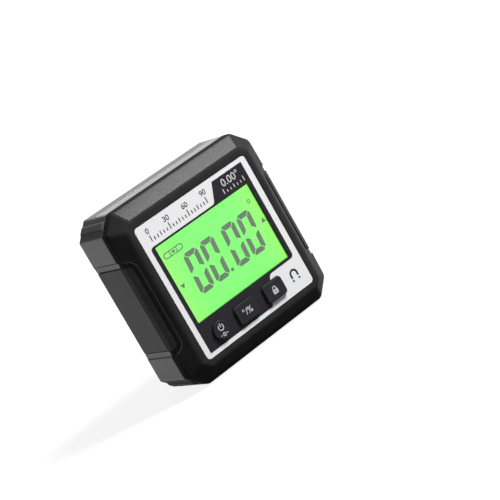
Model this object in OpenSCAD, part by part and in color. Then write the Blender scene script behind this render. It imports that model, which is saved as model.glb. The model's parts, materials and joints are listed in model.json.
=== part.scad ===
// Digital angle gauge: a square body that stands on a magnetic base face.
// Millimetres. X runs to the right, Y to the back and Z up; the base face lies on Z = 0.

/* [Housing] */
// width of the body, side to side
body_w = 58; // [55:0.5:70]
// height of the body, base face to top face
body_h = 58; // [55:0.5:70]
// depth of the body, front face to back face
body_d = 24; // [21.6:0.2:30]
// leg of the four corner chamfers
corner_leg = 5; // [4.6:0.1:6.5]
// side and top wall of the rear housing
wall = 2.3; // [2:0.1:2.5]
// wall of the bezel behind the label
front_wall = 2; // [1.8:0.1:2.4]
// lower back wall of the rear housing
back_wall = 2; // [1.6:0.1:3]
// base wall that holds the magnets
base_wall = 3.4; // [3.2:0.1:4]
// how far the bezel stands in from the rear housing all round
bezel_step = 0; // [0:0.1:0.6]
// width of the front bevel, seen from the front
bevel_w = 4.6; // [4:0.1:5]
// depth of the front bevel
bevel_d = 3.5; // [3:0.1:4]
// depth of the line where bezel and rear housing meet
part_d = 6; // [5.4:0.1:6.4]
// length of the bezel's locating lip
lip_d = 1.4; // [1:0.1:2]
// thickness of the locating lip
lip_t = 0.9; // [0.7:0.1:1]
// width of the rear bevel, seen from behind
rear_bevel_w = 2.6; // [2:0.1:3]
// depth of the rear bevel
rear_bevel_d = 3.3; // [2.6:0.1:3.6]
// width of the rib on each corner chamfer
rib_w = 3; // [2:0.1:3.6]
// height of the rib on each corner chamfer
rib_h = 0.6; // [0.3:0.1:0.8]
// depth of the witness groove across the top face
top_groove_d = 13.5; // [10:0.5:15]
// width of the witness groove across the top face
top_groove_w = 0.5; // [0.3:0.1:1]

/* [Side grips] */
// lower end of the grip pocket's floor on the bevel
pocket_z = 13.4; // [11:0.1:15]
// height of the grip pocket's floor on the bevel
pocket_h = 30.4; // [26:0.1:34]
// depth of the grip pocket
pocket_t = 0.4; // [0.3:0.1:1]
// width of the sloping rim round the pocket
rim_w = 0.4; // [0.1:0.1:0.6]
// how far the pocket's floor runs up the front bevel, along its slope
pocket_reach = 3.4; // [3:0.1:4.6]
// radius of the pocket's two front corners
arch_r = 3.2; // [2:0.1:3.8]
// how much further the pocket runs up and down on the side than on the bevel
side_ease = 0.3; // [0.1:0.1:0.6]
// channel left open round the grip
channel_w = 1.4; // [0.8:0.1:1.8]
// thickness of the grip
grip_t = 0.8; // [0.4:0.1:0.9]
// how far the grip is let into the pocket's floor
grip_seat = 0.5; // [0.3:0.1:0.6]
// joint gap round the grip
grip_gap = 0.2; // [0.1:0.05:0.3]

/* [Label and window] */
// width of the label
label_w = 44.6; // [42:0.1:47]
// height of the label
label_h = 44; // [42:0.1:45.6]
// height of the label's middle above the body's middle
label_z = -0.2; // [-0.6:0.1:0.4]
// corner radius of the label
label_r = 1.2; // [0.5:0.1:2]
// thickness of the label film
label_t = 0.35; // [0.2:0.05:0.5]
// width of the display window
view_w = 38.2; // [34:0.1:39]
// height of the display window
view_h = 25.6; // [22:0.1:28.8]
// height of the window's middle above the body's middle
view_z = 1.2; // [0.6:0.1:1.8]
// thickness of the clear window plate
lens_t = 1; // [0.8:0.1:1.1]
// ledge that carries the window plate
lens_ledge = 1; // [0.6:0.1:1.2]

/* [Keys] */
// how far the row of keys lies below the window's lower edge
key_z = 5.4; // [5:0.1:6.2]
// height of the two oblong keys
key_h = 5.8; // [5:0.1:6]
// corner radius of the oblong keys
key_r = 1; // [0.6:0.1:2]
// diameter of the round power key
power_dia = 5.8; // [5:0.1:6]
// place of the power key
power_x = -13.8; // [-14.4:0.1:-13]
// place of the unit key
unit_x = -3.3; // [-3.8:0.1:-2.8]
// width of the unit key
unit_w = 7.9; // [7:0.1:8.2]
// place of the hold key
hold_x = 8.4; // [8:0.1:9]
// width of the hold key
hold_w = 7.7; // [7:0.1:8.2]
// how far the keys stand out of the front face
key_proud = 0.8; // [0.4:0.1:1.2]
// travel of a key when it is pressed
key_travel = 0.4; // [0.2:0.05:0.5]
// running gap round a key
key_gap = 0.08; // [0.05:0.01:0.1]

/* [Display stack] */
// thickness of one sheet of display glass
glass_t = 0.8; // [0.5:0.05:0.9]
// thickness of a polariser film
film_t = 0.2; // [0.1:0.05:0.25]
// thickness of the light guide
guide_t = 2.5; // [2:0.1:2.6]
// glass that stands out past the window on each side
glass_rim = 1.4; // [0.8:0.1:1.8]
// ledge of the front glass that carries the contacts
contact_ledge = 2.2; // [1.8:0.1:3]
// wall of the LCD holder
holder_wall = 0.8; // [0.6:0.1:0.9]

/* [Board] */
// thickness of the main board
board_t = 1.2; // [0.8:0.1:1.3]
// height of a switch body
switch_h = 2.4; // [2:0.1:2.6]
// side of a switch body
switch_w = 6; // [5:0.1:6]
// diameter of a switch plunger
plunger_dia = 3; // [2:0.1:3.4]

/* [Power] */
// diameter of a cell
cell_dia = 10.5; // [10:0.1:10.6]
// length of a cell over its stud
cell_len = 44.5; // [43:0.1:44.8]
// distance between the two cells' axes
cell_pitch = 11; // [10.8:0.1:11.2]
// height of the line between the two cells above the body's middle
bay_z = 7; // [5.5:0.1:7.6]
// room for a pressed contact spring
spring_h = 2; // [1.6:0.1:2.2]
// wire of a contact spring
spring_wire = 0.5; // [0.3:0.1:0.6]
// sheet of the battery contacts
contact_t = 0.4; // [0.3:0.1:0.5]
// thickness of the battery door
door_t = 1.7; // [1.5:0.1:1.8]
// width of the tongue on each side of the door
tongue_w = 0.7; // [0.5:0.1:0.8]
// running gap round the door
door_gap = 0.1; // [0.05:0.01:0.15]

/* [Base and screws] */
// diameter of a base magnet
magnet_dia = 10; // [6:0.5:11]
// thickness of a base magnet
magnet_t = 2.5; // [2:0.1:2.6]
// place of the magnets on each side of the middle
magnet_x = 14; // [10:0.5:15]
// housing screws in from the body's sides
screw_in = 8; // [7.6:0.1:8.4]
// upper housing screws down from the top face
screw_top = 4.6; // [4.4:0.1:5.2]
// lower housing screws up from the base face
screw_low = 6.5; // [6:0.1:8]
// shank of a housing screw
screw_dia = 2; // [1.8:0.1:2.4]
// head of a housing screw
head_dia = 4; // [3.6:0.1:4.2]
// shank of a board screw
board_screw_dia = 1.6; // [1.4:0.1:1.8]

/* [Hidden] */
$fn = 48;
root2 = sqrt(2);
seat_gap = 0.05;
lap = 0.1;
mid_d = (body_d - key_proud) / 2;
mid_z = body_h / 2;
half_w = body_w / 2;
view_mid = mid_z + view_z;
label_mid = mid_z + label_z;
key_row = view_mid - view_h / 2 - key_z;
bay_mid = mid_z + bay_z;

// front cover
bezel_w = body_w - 2 * bezel_step;
bezel_h = body_h - 2 * bezel_step;
bezel_leg = corner_leg - bezel_step * (2 - root2);
bevel_len = sqrt(bevel_w * bevel_w + bevel_d * bevel_d);
bevel_turn = atan2(bevel_d, bevel_w);

// grips
grip_z0 = pocket_z + channel_w;
grip_z1 = pocket_z + pocket_h - channel_w;
grip_reach = pocket_reach - channel_w;
grip_r = max(arch_r - channel_w, 0.5);
grip_split = 0.2;
seat_t = pocket_t + grip_seat;

// inside of the rear housing, and of the lip that fits into it
in_w = body_w - 2 * wall;
in_h = body_h - wall - base_wall;
in_z = base_wall + in_h / 2;
in_leg = corner_leg - wall * (2 - root2);
lip_in = seat_gap * 2 + lip_t;
cavity_run = 1.8;
cavity_drop = cavity_run * bevel_d / bevel_w;

// label and window
label_floor = label_t + seat_gap;
lens_floor = label_floor + lens_t + seat_gap;

// display stack, front to back
polar_d = front_wall + 2 * seat_gap;
glass_d = polar_d + film_t;
rear_glass_d = glass_d + glass_t;
rear_polar_d = rear_glass_d + glass_t;
guide_d = rear_polar_d + film_t + 2 * seat_gap;
reflector_d = guide_d + guide_t + seat_gap;
board_d = reflector_d + film_t + seat_gap;
board_back = board_d + board_t;
glass_w = view_w + 2 * glass_rim;
glass_z0 = view_mid - view_h / 2 - glass_rim / 2 - 0.2;
rear_glass_z1 = view_mid + view_h / 2 + glass_rim;
glass_z1 = rear_glass_z1 + contact_ledge;
holder_w = glass_w + 2 * (seat_gap + holder_wall);
holder_z0 = glass_z0 - seat_gap - holder_wall;
holder_z1 = glass_z1 + seat_gap + holder_wall;
guide_w = view_w + 1;
guide_h = view_h + 0.6;
led_w = 2.8;
led_h = 1.3;
led_t = 1;
led_z = 7;
strip_w = 1.4;
strip_gap = 0.1;
strip_z = rear_glass_z1 + contact_ledge / 2;

// keys and switches
key_base_d = front_wall + seat_gap;
key_base_t = 0.85;
key_ear = 0.9;
ear_inset = 0.8;
switch_d = board_d - switch_h;
plunger_d = switch_d - 1;
plunger_len = 1.9;

// battery bay and door, counted from the back face
door_d = body_d - door_t;
bay_back = door_d - seat_gap;
cell_d = bay_back - seat_gap * 2 - cell_dia / 2;
bay_d = cell_d - cell_dia / 2 - seat_gap * 2;
bay_wall = 0.9;
dimple_h = 0.3;
bay_w = cell_len + spring_h + 2 * contact_t + dimple_h + 3 * seat_gap;
bay_h = cell_pitch + cell_dia + 8 * seat_gap;
bay_z0 = bay_mid - bay_h / 2;
bay_z1 = bay_mid + bay_h / 2;
door_w = bay_w + 1;
door_z = bay_z0 - 3.4;
tongue_t = 0.5;
groove_w = 16;
groove_h = 0.9;
groove_cut = 0.5;
groove_pitch = 1.8;
groove_z = door_z + 5;
arrow_w = 6;
arrow_h = 4;
arrow_z = door_z + 15.5;
tongue_d = door_d + door_t / 2 - tongue_t / 2 - 0.1;
upper_wall = 1.8;
contact_w = 8;
tab_w = 2;

// base and screws
base_d = (part_d + body_d - rear_bevel_d) / 2;
screw_x = half_w - screw_in;
screw_z0 = screw_low;
screw_z1 = body_h - screw_top;
column_r = head_dia / 2 + 1.1;
head_t = 1.5;
head_seat = bay_back - head_t - 0.5;
screw_end = front_wall + 1.6;
post_x = (holder_w / 2 + in_w / 2 - lip_in) / 2;
post_r = 1.35;
post_end = front_wall + 1;
screw_room = 0.2;
post_zs = [view_mid - 10, bay_mid];
board_head_r = 1.4;
board_head_t = 0.9;
board_head_gap = 0.2;

// parts on the back of the board, below the battery bay
parts_z = key_row + 4;
chip_x = -9;
chip_w = 9;
chip_t = 1.3;
lead_len = 1;
lead_w = 0.35;
lead_t = 0.3;
lead_pitch = 0.75;
sensor_w = 5;
sensor_t = 1.2;
crystal_x = 5;
crystal_w = 3.2;
crystal_h = 8;
crystal_t = 1.3;
capacitor_x = 12;
capacitor_pitch = 3;
capacitor_w = 1.2;
capacitor_h = 2;
capacitor_t = 0.9;

bezel_colour = [0.10, 0.10, 0.11];
housing_colour = [0.23, 0.23, 0.24];
rubber_colour = [0.17, 0.17, 0.18];
metal_colour = [0.75, 0.75, 0.77];
steel_colour = [0.62, 0.63, 0.65];

// Inside the modules Y is the depth behind the front face; seat() moves it to the middle.
module seat() {
    translate([0, -mid_d, 0]) children();
}

// a flat outline in X and Z, raised into a layer between two depths
module layer(d0, d1) {
    translate([0, d1, 0]) rotate([90, 0, 0]) linear_extrude(d1 - d0) children();
}

// a round bar along Y
module bar(x, z, d0, d1, r) {
    translate([x, d1, z]) rotate([90, 0, 0]) cylinder(h = d1 - d0, r = r);
}

// a block between two corners
module block(low, high) {
    translate(low) cube(high - low);
}

// a square outline with its four corners cut off
module octagon(w, h, leg, z) {
    a = w / 2;
    b = h / 2;
    translate([0, z]) polygon([[a - leg, b], [a, b - leg], [a, leg - b], [a - leg, -b],
        [leg - a, -b], [-a, leg - b], [-a, b - leg], [leg - a, b]]);
}

// a rectangle with round corners
module rounded(w, h, r) {
    square([w - 2 * r, h], center = true);
    square([w, h - 2 * r], center = true);
    for (sx = [-1, 1], sz = [-1, 1]) {
        translate([sx * (w / 2 - r), sz * (h / 2 - r)]) circle(r);
    }
}

// wedges that cut eight sloping facets round the front of an eight-sided block
module facets(w, h, leg, z, run, drop) {
    for (i = [0:7]) {
        diag = ((w + h) / 2 - leg) / root2;
        reach = i % 2 == 1 ? diag : i % 4 == 0 ? w / 2 : h / 2;
        translate([0, 0, z]) rotate([0, -45 * i, 0])
            linear_extrude(2 * (w + h), center = true)
                polygon([[reach + run, 2 * drop], [reach - 2 * run, -drop], [reach + run, -drop]]);
    }
}

// The right-hand bevel: a point s up the slope from its outer edge, sunk below its face.
function slope_x(s, sink) = bezel_w / 2 - (s * bevel_w + sink * bevel_d) / bevel_len;
function slope_d(s, sink) = bevel_d - (s * bevel_d - sink * bevel_w) / bevel_len;
function slope_s(x, sink) = ((bezel_w / 2 - x) * bevel_len - sink * bevel_d) / bevel_w;
function edge_d(x, sink) = slope_d(slope_s(x, sink), sink);

// an arch outline that runs up the right-hand bevel
module arch_outline(reach, z0, z1, r) {
    translate([-4, z0]) square([4 + reach - r, z1 - z0]);
    translate([-4, z0 + r]) square([4 + reach, z1 - z0 - 2 * r]);
    for (z = [z0 + r, z1 - r]) {
        translate([reach - r, z]) circle(r);
    }
}

// from X along the slope and Y up to the right-hand bevel's own place, with Z into its face
module on_bevel() {
    translate([bezel_w / 2, bevel_d, 0]) rotate([0, 0, 180 + bevel_turn]) rotate([90, 0, 0]) children();
}

// an arch cut square to the slope
module arch(reach, z0, z1, r, sink) {
    on_bevel() translate([0, 0, -6]) linear_extrude(6 + sink) arch_outline(reach, z0, z1, r);
}

// the grip pocket of the right side, through bezel and rear housing, with its sloping rim
module grip_pocket() {
    z0 = pocket_z;
    z1 = pocket_z + pocket_h;
    over = 1;
    grow = rim_w * (pocket_t + over) / pocket_t;
    floor_x = half_w - pocket_t;
    on_bevel() hull() {
        translate([0, 0, -over]) linear_extrude(0.01)
            arch_outline(pocket_reach + grow, z0 - grow, z1 + grow, arch_r + grow);
        translate([0, 0, pocket_t - 0.01]) linear_extrude(0.01) arch_outline(pocket_reach, z0, z1, arch_r);
    }
    layer(edge_d(floor_x, pocket_t) - lap, body_d + 1)
        polygon([[floor_x, z0 - side_ease], [half_w + over, z0 - side_ease - grow],
            [half_w + over, z1 + side_ease + grow], [floor_x, z1 + side_ease]]);
    grip_bed();
}

// the deeper seat of the grip in the floor of the pocket
module grip_bed() {
    z0 = grip_z0 - grip_gap;
    z1 = grip_z1 + grip_gap;
    floor_x = half_w - seat_t;
    arch(grip_reach + grip_gap, z0, z1, grip_r + grip_gap, seat_t);
    block([floor_x, edge_d(floor_x, seat_t) - lap, z0 - lap], [half_w + 1, body_d + 1, z1 + lap]);
}

// the right-hand grip between two depths: a band that follows the bevel and the side
module grip(d0, d1) {
    low = seat_t - seat_gap / 2;
    high = seat_t - grip_t;
    in_x = half_w - low;
    out_x = half_w - high;
    tilt = rear_bevel_d / rear_bevel_w;
    back = body_d - rear_bevel_d - 0.15;
    intersection() {
        translate([0, 0, grip_z0]) linear_extrude(grip_z1 - grip_z0)
            polygon([[slope_x(grip_reach + 1, low), slope_d(grip_reach + 1, low)],
                [in_x, edge_d(in_x, low)], [in_x, back + low * tilt],
                [out_x, back + high * tilt], [out_x, edge_d(out_x, high)],
                [slope_x(grip_reach + 1, high), slope_d(grip_reach + 1, high)]]);
        union() {
            block([in_x - 4, edge_d(in_x, low), grip_z0 - 1], [half_w + 4, body_d + 1, grip_z1 + 1]);
            arch(grip_reach, grip_z0, grip_z1, grip_r, seat_t + 1);
        }
        block([0, d0, 0], [body_w, d1, body_h]);
    }
}

// The grip is split where the bezel meets the rear housing, and each half stays on its own moulding.
module front_pad() {
    grip(-1, part_d - grip_split / 2);
}

module side_pad() {
    grip(part_d + seat_gap + grip_split / 2, body_d + 1);
}

module both_sides() {
    children();
    mirror([1, 0, 0]) children();
}

module at_screws() {
    for (x = [-screw_x, screw_x], z = [screw_z0, screw_z1]) {
        translate([x, 0, z]) children();
    }
}

module at_posts() {
    for (x = [-post_x, post_x], z = post_zs) {
        translate([x, 0, z]) children();
    }
}

// outlines of the three keys, grown by a gap
module power_outline(gap) {
    translate([power_x, key_row]) circle(power_dia / 2 + gap);
}

module unit_outline(gap) {
    translate([unit_x, key_row]) rounded(unit_w + 2 * gap, key_h + 2 * gap, key_r + gap);
}

module hold_outline(gap) {
    translate([hold_x, key_row]) rounded(hold_w + 2 * gap, key_h + 2 * gap, key_r + gap);
}

module key_outlines(gap) {
    power_outline(gap);
    unit_outline(gap);
    hold_outline(gap);
}

module front_bezel() {
    color(bezel_colour) seat() difference() {
        union() {
            difference() {
                layer(0, part_d) octagon(bezel_w, bezel_h, bezel_leg, mid_z);
                facets(bezel_w, bezel_h, bezel_leg, mid_z, bevel_w, bevel_d);
            }
            layer(part_d - 1, part_d + lip_d)
                octagon(in_w - 4 * seat_gap, in_h - 4 * seat_gap, in_leg, in_z);
        }
        // hollow behind the front wall, round the bosses and posts
        difference() {
            layer(front_wall, part_d + lip_d + 1)
                octagon(in_w - 2 * lip_in, in_h - 2 * lip_in, in_leg, in_z);
            translate([0, front_wall, 0])
                facets(in_w - 2 * lip_in, in_h - 2 * lip_in, in_leg, in_z, cavity_run, cavity_drop);
            at_screws() bar(0, 0, 0, board_d - seat_gap, column_r - 0.4);
            at_posts() bar(0, 0, 0, board_d - seat_gap, post_r);
        }
        // label recess, window and key openings
        layer(-1, label_floor)
            translate([0, label_mid]) rounded(label_w + 0.2, label_h + 0.2, label_r + 0.1);
        layer(0, lens_floor) translate([0, view_mid])
            square([view_w + 2 * lens_ledge + 0.2, view_h + 2 * lens_ledge + 0.2], center = true);
        layer(0, front_wall + 1) translate([0, view_mid]) square([view_w + 0.4, view_h + 0.4], center = true);
        layer(0, front_wall + 1) key_outlines(key_gap);
        // screw holes
        at_screws() bar(0, 0, screw_end - 0.6, board_d + 1, screw_dia / 2 + 0.03);
        at_posts() bar(0, 0, post_end - screw_room, board_d + 1, board_screw_dia / 2 + 0.03);
        both_sides() grip_pocket();
    }
}

module housing_block() {
    difference() {
        union() {
            layer(part_d + seat_gap, body_d) octagon(body_w, body_h, corner_leg, mid_z);
            // ribs along the corner chamfers
            for (sx = [-1, 1], sz = [-1, 1]) {
                translate([sx * (half_w - corner_leg / 2), 0, mid_z + sz * (mid_z - corner_leg / 2)])
                    rotate([0, -sz * (90 - 45 * sx), 0])
                        layer(part_d + 0.5, body_d)
                            polygon([[-1, rib_w / 2], [0, rib_w / 2], [rib_h, rib_w / 2 - rib_h],
                                [rib_h, rib_h - rib_w / 2], [0, -rib_w / 2], [-1, -rib_w / 2]]);
            }
        }
        translate([0, body_d, 0]) mirror([0, 1, 0])
            facets(body_w, body_h, corner_leg, mid_z, rear_bevel_w, rear_bevel_d);
    }
}

module rear_housing() {
    color(housing_colour) seat() difference() {
        housing_block();
        // hollow, round the battery bay and the screw columns
        difference() {
            layer(part_d - 1, body_d - back_wall) octagon(in_w, in_h, in_leg, in_z);
            block([-half_w, bay_back - upper_wall, bay_z0 - bay_wall], [half_w, body_d, body_h]);
            block([-bay_w / 2 - bay_wall, bay_d - bay_wall, bay_z0 - bay_wall],
                [bay_w / 2 + bay_wall, body_d, bay_z1 + bay_wall]);
            at_screws() bar(0, 0, board_back + seat_gap, body_d, column_r);
        }
        // battery bay with slots for the contact tabs
        block([-bay_w / 2, bay_d, bay_z0], [bay_w / 2, body_d, bay_z1]);
        for (z = [bay_mid - cell_pitch / 2, bay_mid + cell_pitch / 2]) {
            block([-bay_w / 2, bay_d - bay_wall - 1, z - tab_w / 2 - 0.2],
                [-bay_w / 2 + contact_t + 0.3, bay_d + 1, z + tab_w / 2 + 0.2]);
        }
        // recess and rail grooves of the door, open at the top
        block([-door_w / 2 - door_gap, bay_back, door_z - door_gap],
            [door_w / 2 + door_gap, body_d + 1, body_h + 1]);
        block([-door_w / 2 - tongue_w - door_gap, tongue_d - door_gap, door_z - door_gap],
            [door_w / 2 + tongue_w + door_gap, tongue_d + tongue_t + door_gap, body_h + 1]);
        // screw holes and head seats
        at_screws() {
            bar(0, 0, board_back - 1, body_d, screw_dia / 2 + 0.15);
            bar(0, 0, head_seat, body_d + 1, head_dia / 2 + 0.2);
        }
        // room for the heads of the board screws
        at_posts() bar(0, 0, board_back, board_back + board_head_t + board_head_gap,
            board_head_r + board_head_gap);
        // magnet pockets in the base face
        for (x = [-magnet_x, magnet_x]) {
            translate([x, base_d, -1]) cylinder(h = 1 + magnet_t + 2 * seat_gap, d = magnet_dia + 0.1);
        }
        // witness groove across the top face
        block([-half_w, top_groove_d - top_groove_w / 2, body_h - 0.3],
            [half_w, top_groove_d + top_groove_w / 2, body_h + 1]);
        both_sides() grip_pocket();
    }
}

module battery_door() {
    color(housing_colour) seat() difference() {
        union() {
            block([-door_w / 2, door_d, door_z], [door_w / 2, body_d, body_h]);
            block([-door_w / 2 - tongue_w, tongue_d, door_z],
                [door_w / 2 + tongue_w, tongue_d + tongue_t, body_h]);
        }
        translate([0, body_d, 0]) mirror([0, 1, 0])
            facets(body_w, body_h, corner_leg, mid_z, rear_bevel_w, rear_bevel_d);
        // thumb grooves and the arrow that shows the way it slides
        for (i = [0:4]) {
            layer(body_d - groove_cut, body_d + 1) translate([0, groove_z + groove_pitch * i])
                rounded(groove_w, groove_h, groove_h / 2 - 0.01);
        }
        layer(body_d - groove_cut, body_d + 1) translate([0, arrow_z])
            polygon([[-arrow_w / 2, 0], [arrow_w / 2, 0], [0, arrow_h]]);
    }
}

module grip_left() {
    color(rubber_colour) seat() mirror([1, 0, 0]) side_pad();
}

module grip_right() {
    color(rubber_colour) seat() side_pad();
}

module front_grip_left() {
    color(bezel_colour) seat() mirror([1, 0, 0]) front_pad();
}

module front_grip_right() {
    color(bezel_colour) seat() front_pad();
}

module front_label() {
    color([0.92, 0.92, 0.92]) seat() layer(0, label_t) difference() {
        translate([0, label_mid]) rounded(label_w, label_h, label_r);
        translate([0, view_mid]) rounded(view_w, view_h, 0.4);
        key_outlines(key_gap + 0.1);
    }
}

module display_window() {
    color([0.80, 0.92, 0.82, 0.35]) seat()
        layer(label_floor, label_floor + lens_t) translate([0, view_mid])
            square([view_w + 2 * lens_ledge, view_h + 2 * lens_ledge], center = true);
}

// the foot of a key: ears that hold it behind the front wall, and the stem on the switch
module key_foot(x, w, h) {
    layer(key_base_d, key_base_d + key_base_t)
        translate([x, key_row]) square([w + 2 * key_ear, h - ear_inset], center = true);
    bar(x, key_row, key_base_d, plunger_d - seat_gap, plunger_dia / 2 - 0.3);
}

module power_button() {
    color(rubber_colour) seat() {
        layer(-key_proud, key_base_d + 0.2) power_outline(0);
        key_foot(power_x, power_dia, power_dia);
    }
}

module unit_button() {
    color(rubber_colour) seat() {
        layer(-key_proud, key_base_d + 0.2) unit_outline(0);
        key_foot(unit_x, unit_w, key_h);
    }
}

module hold_button() {
    color(rubber_colour) seat() {
        layer(-key_proud, key_base_d + 0.2) hold_outline(0);
        key_foot(hold_x, hold_w, key_h);
    }
}

module plunger(x) {
    color([0.30, 0.30, 0.32]) seat()
        bar(x, key_row, plunger_d, plunger_d + plunger_len, plunger_dia / 2);
}

module power_plunger() {
    plunger(power_x);
}

module unit_plunger() {
    plunger(unit_x);
}

module hold_plunger() {
    plunger(hold_x);
}

module switch_bodies() {
    color([0.12, 0.12, 0.13]) seat() for (x = [power_x, unit_x, hold_x]) {
        difference() {
            block([x - switch_w / 2, switch_d, key_row - switch_w / 2],
                [x + switch_w / 2, board_d - seat_gap / 2, key_row + switch_w / 2]);
            bar(x, key_row, switch_d - 1, plunger_d + plunger_len + key_travel + 0.2, plunger_dia / 2 + 0.05);
        }
    }
}

module front_polariser() {
    color([0.55, 0.62, 0.55]) seat()
        block([-view_w / 2 - 0.8, polar_d, glass_z0 + 0.2],
            [view_w / 2 + 0.8, polar_d + film_t, rear_glass_z1 - 0.4]);
}

module lcd_panel() {
    color([0.62, 0.85, 0.60]) seat() {
        block([-glass_w / 2, glass_d, glass_z0], [glass_w / 2, rear_glass_d, glass_z1]);
        block([-glass_w / 2, rear_glass_d, glass_z0], [glass_w / 2, rear_polar_d, rear_glass_z1]);
    }
}

module rear_polariser() {
    color([0.50, 0.58, 0.50]) seat()
        block([-view_w / 2 - 0.8, rear_polar_d, glass_z0 + 0.2],
            [view_w / 2 + 0.8, rear_polar_d + film_t, rear_glass_z1 - 0.4]);
}

module lcd_holder() {
    ledge_d = rear_polar_d + film_t + seat_gap;
    color([0.85, 0.86, 0.84]) seat() difference() {
        block([-holder_w / 2, polar_d, holder_z0], [holder_w / 2, board_d - seat_gap, holder_z1]);
        block([-glass_w / 2 - seat_gap, 0, glass_z0 - seat_gap],
            [glass_w / 2 + seat_gap, ledge_d, glass_z1 + seat_gap]);
        block([-guide_w / 2 - 0.1, 0, view_mid - guide_h / 2 - 0.1],
            [guide_w / 2 + 0.1, board_d + 1, view_mid + guide_h / 2 + 0.1]);
        block([-view_w / 2, 0, strip_z - strip_w / 2 - strip_gap],
            [view_w / 2, board_d + 1, strip_z + strip_w / 2 + strip_gap]);
        // notches for the backlight LEDs
        for (z = [view_mid - led_z, view_mid + led_z]) {
            block([-guide_w / 2 - led_t - 0.3, board_d - led_h - 0.3, z - led_w / 2 - 0.2],
                [guide_w / 2 + led_t + 0.3, board_d + 1, z + led_w / 2 + 0.2]);
        }
    }
}

module light_guide() {
    color([0.86, 0.95, 0.80]) seat() block([-guide_w / 2, guide_d, view_mid - guide_h / 2],
        [guide_w / 2, guide_d + guide_t, view_mid + guide_h / 2]);
}

module reflector_sheet() {
    color([0.96, 0.96, 0.96]) seat() block([-guide_w / 2, reflector_d, view_mid - guide_h / 2],
        [guide_w / 2, reflector_d + film_t, view_mid + guide_h / 2]);
}

module backlight_leds() {
    color([0.95, 0.93, 0.70]) seat() for (sx = [0, 1], z = [view_mid - led_z, view_mid + led_z]) {
        mirror([sx, 0, 0]) block([guide_w / 2 + 0.15, board_d - led_h, z - led_w / 2],
            [guide_w / 2 + 0.15 + led_t, board_d - seat_gap / 2, z + led_w / 2]);
    }
}

module contact_strip() {
    color([0.90, 0.55, 0.55]) seat()
        block([strip_gap - view_w / 2, rear_glass_d + seat_gap / 2, strip_z - strip_w / 2],
            [view_w / 2 - strip_gap, board_d - seat_gap / 2, strip_z + strip_w / 2]);
}

module main_board() {
    color([0.10, 0.36, 0.20]) seat() difference() {
        layer(board_d, board_back) octagon(in_w - 2 * lip_in - 0.8, in_h - 2 * lip_in - 0.8, in_leg, in_z);
        at_screws() bar(0, 0, board_d - 1, board_back + 1, screw_dia / 2 + 0.2);
        at_posts() bar(0, 0, board_d - 1, board_back + 1, board_screw_dia / 2 + 0.1);
    }
}

// a chip body on the back of the board
module chip(x, z, w, h, t) {
    d0 = board_back + seat_gap / 2;
    block([x - w / 2, d0, z - h / 2], [x + w / 2, d0 + t, z + h / 2]);
}

module controller_chip() {
    color([0.08, 0.08, 0.09]) seat() {
        chip(chip_x, parts_z, chip_w, chip_w, chip_t);
        for (i = [-5:5]) {
            chip(chip_x, parts_z + lead_pitch * i, chip_w + 2 * lead_len, lead_w, lead_t);
            chip(chip_x + lead_pitch * i, parts_z, lead_w, chip_w + 2 * lead_len, lead_t);
        }
    }
}

module tilt_sensor() {
    color([0.20, 0.20, 0.22]) seat() chip(0, parts_z, sensor_w, sensor_w, sensor_t);
}

module crystal() {
    color(metal_colour) seat() difference() {
        chip(crystal_x, parts_z, crystal_w, crystal_h, crystal_t);
        chip(crystal_x, parts_z, crystal_w + 1, lead_w, lead_t);
    }
}

module capacitors() {
    color([0.72, 0.58, 0.40]) seat() for (i = [-1:1], j = [-1.5:1.5]) {
        chip(capacitor_x + capacitor_pitch * i, parts_z + capacitor_pitch * j,
            capacitor_w, capacitor_h, capacitor_t);
    }
}

module board_screws() {
    color(metal_colour) seat() at_posts() difference() {
        union() {
            bar(0, 0, post_end, board_back + screw_room, board_screw_dia / 2);
            bar(0, 0, board_back, board_back + board_head_t, board_head_r);
        }
        for (turn = [0, 90]) {
            rotate([0, turn, 0]) block([-0.9, board_back + board_head_t - 0.5, -0.18],
                [0.9, board_back + board_head_t + 1, 0.18]);
        }
    }
}

module housing_screws() {
    color(steel_colour) seat() at_screws() difference() {
        union() {
            bar(0, 0, screw_end, head_seat + 0.2, screw_dia / 2);
            bar(0, 0, head_seat + seat_gap / 2, head_seat + head_t, head_dia / 2);
        }
        for (turn = [0, 90]) {
            rotate([0, turn, 0]) block([-1.2, head_seat + head_t - 0.8, -0.25],
                [1.2, head_seat + head_t + 1, 0.25]);
        }
    }
}

// a cell on the X axis with its stud to the right
module cell() {
    r = cell_dia / 2;
    flat = -bay_w / 2 + contact_t + spring_h + seat_gap;
    translate([flat, 0, 0]) rotate([0, 90, 0]) rotate_extrude()
        polygon([[0, 0], [r - 0.6, 0], [r - 0.6, 0.3], [r - 0.2, 0.3], [r, 0.5], [r, cell_len - 1.6],
            [r - 0.5, cell_len - 1.1], [1.9, cell_len - 1.1], [1.9, cell_len - 0.2],
            [1.7, cell_len], [0, cell_len]]);
}

module upper_cell() {
    color([0.20, 0.22, 0.25]) seat() translate([0, cell_d, bay_mid + cell_pitch / 2]) cell();
}

module lower_cell() {
    color([0.20, 0.22, 0.25]) seat() translate([0, cell_d, bay_mid - cell_pitch / 2])
        mirror([1, 0, 0]) cell();
}

// a sheet contact on the left wall of the bay, with its tab to the board
module contact_sheet(z, dimple) {
    x0 = -bay_w / 2 + seat_gap / 2;
    x1 = x0 + contact_t;
    block([x0, cell_d - contact_w / 2, z - contact_w / 2], [x1, cell_d + contact_w / 2, z + contact_w / 2]);
    block([x0, board_back + seat_gap / 2, z - tab_w / 2], [x1, cell_d, z + tab_w / 2]);
    if (dimple) {
        translate([x1 - 0.1, cell_d, z]) rotate([0, 90, 0]) cylinder(h = dimple_h + 0.1, r1 = 2, r2 = 1.5);
    }
}

module positive_contact() {
    color(metal_colour) seat() contact_sheet(bay_mid - cell_pitch / 2, true);
}

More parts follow.
